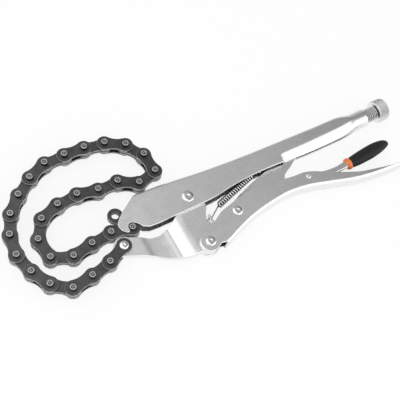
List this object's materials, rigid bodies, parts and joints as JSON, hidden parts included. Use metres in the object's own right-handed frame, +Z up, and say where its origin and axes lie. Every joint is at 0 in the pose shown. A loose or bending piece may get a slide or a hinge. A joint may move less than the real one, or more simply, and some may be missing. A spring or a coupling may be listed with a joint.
{
  "type": "chain oil filter wrench",
  "caption": "Locking plier handle with a toggle, adjusting screw and release lever, and a hooked roller-type chain that wraps round an oil filter.",
  "frame": {"origin": "under the middle of the whole wrench as it lies on its side, at the level it rests on", "axes": "+X along the upper handle towards the knob, +Y across the tool towards the chain's top, +Z up, square to the tool's mid-plane"},
  "size_m": [0.3244, 0.129, 0.0188],
  "materials": {
    "satin_nickel": "satin nickel plate",
    "chain_black": "black oxide, lightly oiled",
    "rivet_steel": "bright satin",
    "screw_steel": "bright",
    "spring_steel": "bright wire",
    "grip_black": "matte",
    "collar_orange": "satin"
  },
  "bodies": {
    "upper_handle": {"upper_handle": "satin_nickel", "jaw_rivet": "rivet_steel", "return_spring": "spring_steel"},
    "jaw": {"lower_jaw": "satin_nickel", "anchor_rivet": "rivet_steel"},
    "lower_handle": {"lower_handle": "satin_nickel", "hinge_rivet": "rivet_steel", "link_rivet": "rivet_steel", "lever_rivet": "rivet_steel"},
    "toggle_link": {"toggle_link": "satin_nickel"},
    "release_lever": {"release_lever": "satin_nickel", "lever_collar": "collar_orange", "lever_grip": "grip_black"},
    "screw_tip": {"screw_tip": "screw_steel"},
    "adjusting_screw": {"adjusting_screw": "screw_steel", "screw_knob": "satin_nickel"},
    "link_01": {"chain_link_01": "chain_black"},
    "link_02": {"chain_link_02": "chain_black"},
    "link_03": {"chain_link_03": "chain_black"},
    "link_04": {"chain_link_04": "chain_black"},
    "link_05": {"chain_link_05": "chain_black"},
    "link_06": {"chain_link_06": "chain_black"},
    "link_07": {"chain_link_07": "chain_black"},
    "link_08": {"chain_link_08": "chain_black"},
    "link_09": {"chain_link_09": "chain_black"},
    "link_10": {"chain_link_10": "chain_black"},
    "link_11": {"chain_link_11": "chain_black"},
    "link_12": {"chain_link_12": "chain_black"},
    "link_13": {"chain_link_13": "chain_black"},
    "link_14": {"chain_link_14": "chain_black"},
    "link_15": {"chain_link_15": "chain_black"},
    "link_16": {"chain_link_16": "chain_black"},
    "link_17": {"chain_link_17": "chain_black"},
    "link_18": {"chain_link_18": "chain_black"},
    "link_19": {"chain_link_19": "chain_black"},
    "link_20": {"chain_link_20": "chain_black"},
    "link_21": {"chain_link_21": "chain_black"},
    "link_22": {"chain_link_22": "chain_black"},
    "link_23": {"chain_link_23": "chain_black"},
    "link_24": {"chain_link_24": "chain_black"},
    "link_25": {"chain_link_25": "chain_black"},
    "link_26": {"chain_link_26": "chain_black"},
    "link_27": {"chain_link_27": "chain_black"},
    "link_28": {"chain_link_28": "chain_black"},
    "link_29": {"chain_link_29": "chain_black"},
    "link_30": {"chain_link_30": "chain_black"}
  },
  "joints": [
    {"name": "jaw_pivot", "type": "hinge", "parent": "upper_handle", "child": "jaw", "pos_m": [-0.02719, -0.01295, 0.0094], "axis": [0, 0, 1], "range_deg": [0, 14], "deforming": ["return_spring"]},
    {"name": "handle_pivot", "type": "hinge", "parent": "jaw", "child": "lower_handle", "pos_m": [-0.02999, -0.05145, 0.0094], "axis": [0, 0, 1], "range_deg": [-57, 0]},
    {"name": "link_pivot", "type": "hinge", "parent": "lower_handle", "child": "toggle_link", "pos_m": [0.00051, -0.03945, 0.0094], "axis": [0, 0, 1], "range_deg": [0, 60.5]},
    {"name": "lever_pivot", "type": "hinge", "parent": "lower_handle", "child": "release_lever", "pos_m": [0.06561, -0.03955, 0.0094], "axis": [0, 0, 1], "range_deg": [-8, 0]},
    {"name": "screw_advance", "type": "slide", "parent": "upper_handle", "child": "screw_tip", "axis": [1, 0, 0], "range_m": [0, 0.00875]},
    {"name": "screw_turn", "type": "hinge", "parent": "screw_tip", "child": "adjusting_screw", "pos_m": [0.15281, -0.01295, 0.0094], "axis": [1, 0, 0], "range_deg": [0, 1800.5]},
    {"name": "chain_hinge_01", "type": "hinge", "parent": "jaw", "child": "link_01", "pos_m": [-0.08679, -0.02535, 0.0094], "axis": [0, 0, 1], "range_deg": [-8, 0]},
    {"name": "chain_slack", "type": "hinge", "parent": "link_01", "child": "link_02", "pos_m": [-0.10125, -0.03192, 0.0094], "axis": [0, 0, 1], "range_deg": [-8, 0]},
    {"name": "chain_hinge_03", "type": "hinge", "parent": "link_02", "child": "link_03", "pos_m": [-0.11675, -0.03533, 0.0094], "axis": [0, 0, 1], "range_deg": [-5.1, 0]},
    {"name": "chain_hinge_04", "type": "hinge", "parent": "link_03", "child": "link_04", "pos_m": [-0.13249, -0.03738, 0.0094], "axis": [0, 0, 1], "range_deg": [0, 3.6]},
    {"name": "chain_hinge_05", "type": "hinge", "parent": "link_04", "child": "link_05", "pos_m": [-0.14507, -0.02769, 0.0094], "axis": [0, 0, 1], "range_deg": [0, 3.7]},
    {"name": "chain_hinge_06", "type": "hinge", "parent": "link_05", "child": "link_06", "pos_m": [-0.15237, -0.01359, 0.0094], "axis": [0, 0, 1], "range_deg": [0, 4.6]},
    {"name": "chain_hinge_07", "type": "hinge", "parent": "link_06", "child": "link_07", "pos_m": [-0.15631, 0.00179, 0.0094], "axis": [0, 0, 1], "range_deg": [0, 6.4]},
    {"name": "chain_hinge_08", "type": "hinge", "parent": "link_07", "child": "link_08", "pos_m": [-0.15419, 0.01752, 0.0094], "axis": [0, 0, 1], "range_deg": [0, 0.8]},
    {"name": "chain_hinge_09", "type": "hinge", "parent": "link_08", "child": "link_09", "pos_m": [-0.14732, 0.03183, 0.0094], "axis": [0, 0, 1], "range_deg": [-1.8, 0]},
    {"name": "chain_hinge_10", "type": "hinge", "parent": "link_09", "child": "link_10", "pos_m": [-0.13616, 0.04312, 0.0094], "axis": [0, 0, 1], "range_deg": [0, 0.8]},
    {"name": "chain_hinge_11", "type": "hinge", "parent": "link_10", "child": "link_11", "pos_m": [-0.1232, 0.0523, 0.0094], "axis": [0, 0, 1], "range_deg": [-0.8, 0]},
    {"name": "chain_hinge_12", "type": "hinge", "parent": "link_11", "child": "link_12", "pos_m": [-0.10862, 0.05858, 0.0094], "axis": [0, 0, 1], "range_deg": [0, 1.2]},
    {"name": "chain_hinge_13", "type": "hinge", "parent": "link_12", "child": "link_13", "pos_m": [-0.09275, 0.05865, 0.0094], "axis": [0, 0, 1], "range_deg": [0, 1.3]},
    {"name": "chain_hinge_14", "type": "hinge", "parent": "link_13", "child": "link_14", "pos_m": [-0.07689, 0.0579, 0.0094], "axis": [0, 0, 1], "range_deg": [-0.8, 0]},
    {"name": "chain_hinge_15", "type": "hinge", "parent": "link_14", "child": "link_15", "pos_m": [-0.0613, 0.05494, 0.0094], "axis": [0, 0, 1], "range_deg": [0, 0.8]},
    {"name": "chain_hinge_16", "type": "hinge", "parent": "link_15", "child": "link_16", "pos_m": [-0.04765, 0.04683, 0.0094], "axis": [0, 0, 1], "range_deg": [-1.6, 0]},
    {"name": "chain_hinge_17", "type": "hinge", "parent": "link_16", "child": "link_17", "pos_m": [-0.03918, 0.0334, 0.0094], "axis": [0, 0, 1], "range_deg": [-3.7, 0]},
    {"name": "chain_hinge_18", "type": "hinge", "parent": "link_17", "child": "link_18", "pos_m": [-0.03829, 0.01755, 0.0094], "axis": [0, 0, 1], "range_deg": [0, 0.8]},
    {"name": "chain_hinge_19", "type": "hinge", "parent": "link_18", "child": "link_19", "pos_m": [-0.05373, 0.01383, 0.0094], "axis": [0, 0, 1], "range_deg": [-3.7, 0]},
    {"name": "chain_hinge_20", "type": "hinge", "parent": "link_19", "child": "link_20", "pos_m": [-0.06741, 0.02186, 0.0094], "axis": [0, 0, 1], "range_deg": [-0.8, 0]},
    {"name": "chain_hinge_21", "type": "hinge", "parent": "link_20", "child": "link_21", "pos_m": [-0.08329, 0.02198, 0.0094], "axis": [0, 0, 1], "range_deg": [0, 1.1]},
    {"name": "chain_hinge_22", "type": "hinge", "parent": "link_21", "child": "link_22", "pos_m": [-0.09879, 0.02539, 0.0094], "axis": [0, 0, 1], "range_deg": [-0.8, 0]},
    {"name": "chain_hinge_23", "type": "hinge", "parent": "link_22", "child": "link_23", "pos_m": [-0.11462, 0.02411, 0.0094], "axis": [0, 0, 1], "range_deg": [-0.8, 0]},
    {"name": "chain_hinge_24", "type": "hinge", "parent": "link_23", "child": "link_24", "pos_m": [-0.12957, 0.01878, 0.0094], "axis": [0, 0, 1], "range_deg": [-0.8, 0]},
    {"name": "chain_hinge_25", "type": "hinge", "parent": "link_24", "child": "link_25", "pos_m": [-0.1383, 0.00552, 0.0094], "axis": [0, 0, 1], "range_deg": [-0.8, 0]},
    {"name": "chain_hinge_26", "type": "hinge", "parent": "link_25", "child": "link_26", "pos_m": [-0.13646, -0.01025, 0.0094], "axis": [0, 0, 1], "range_deg": [-0.8, 0]},
    {"name": "chain_hinge_27", "type": "hinge", "parent": "link_26", "child": "link_27", "pos_m": [-0.12189, -0.01654, 0.0094], "axis": [0, 0, 1], "range_deg": [-2.7, 0]},
    {"name": "chain_hinge_28", "type": "hinge", "parent": "link_27", "child": "link_28", "pos_m": [-0.10624, -0.01387, 0.0094], "axis": [0, 0, 1], "range_deg": [-2.3, 0]},
    {"name": "chain_hinge_29", "type": "hinge", "parent": "link_28", "child": "link_29", "pos_m": [-0.09044, -0.0123, 0.0094], "axis": [0, 0, 1], "range_deg": [0, 0.8]},
    {"name": "end_link_swing", "type": "hinge", "parent": "link_29", "child": "link_30", "pos_m": [-0.07499, -0.01595, 0.0094], "axis": [0, 0, 1], "range_deg": [-120, 4]}
  ],
  "couplings": [
    {"joint": "handle_pivot", "follows": "jaw_pivot", "ratio": -4.064},
    {"joint": "link_pivot", "follows": "jaw_pivot", "ratio": 4.307},
    {"joint": "screw_turn", "follows": "screw_advance", "rad_per_m": 3590.4},
    {"joint": "chain_hinge_01", "follows": "jaw_pivot", "ratio": -0.5657},
    {"joint": "chain_hinge_03", "follows": "jaw_pivot", "ratio": -0.36},
    {"joint": "chain_hinge_04", "follows": "chain_slack", "ratio": -0.4341},
    {"joint": "chain_hinge_05", "follows": "jaw_pivot", "ratio": 0.2571},
    {"joint": "chain_hinge_06", "follows": "chain_slack", "ratio": -0.5644},
    {"joint": "chain_hinge_07", "follows": "jaw_pivot", "ratio": 0.4532},
    {"joint": "chain_hinge_08", "follows": "chain_slack", "ratio": -0.0936},
    {"joint": "chain_hinge_09", "follows": "chain_slack", "ratio": 0.2063},
    {"joint": "chain_hinge_10", "follows": "chain_slack", "ratio": -0.0937},
    {"joint": "chain_hinge_11", "follows": "chain_slack", "ratio": 0.0937},
    {"joint": "chain_hinge_12", "follows": "chain_slack", "ratio": -0.1343},
    {"joint": "chain_hinge_13", "follows": "chain_slack", "ratio": -0.1489},
    {"joint": "chain_hinge_14", "follows": "chain_slack", "ratio": 0.0937},
    {"joint": "chain_hinge_15", "follows": "chain_slack", "ratio": -0.0937},
    {"joint": "chain_hinge_16", "follows": "chain_slack", "ratio": 0.1901},
    {"joint": "chain_hinge_17", "follows": "jaw_pivot", "ratio": -0.2568},
    {"joint": "chain_hinge_18", "follows": "chain_slack", "ratio": -0.0936},
    {"joint": "chain_hinge_19", "follows": "jaw_pivot", "ratio": -0.2569},
    {"joint": "chain_hinge_20", "follows": "chain_slack", "ratio": 0.0937},
    {"joint": "chain_hinge_21", "follows": "chain_slack", "ratio": -0.1198},
    {"joint": "chain_hinge_22", "follows": "chain_slack", "ratio": 0.0937},
    {"joint": "chain_hinge_23", "follows": "chain_slack", "ratio": 0.0936},
    {"joint": "chain_hinge_24", "follows": "chain_slack", "ratio": 0.0937},
    {"joint": "chain_hinge_25", "follows": "chain_slack", "ratio": 0.0937},
    {"joint": "chain_hinge_26", "follows": "chain_slack", "ratio": 0.0937},
    {"joint": "chain_hinge_27", "follows": "chain_slack", "ratio": 0.3244},
    {"joint": "chain_hinge_28", "follows": "chain_slack", "ratio": 0.2802},
    {"joint": "chain_hinge_29", "follows": "chain_slack", "ratio": -0.0937}
  ]
}
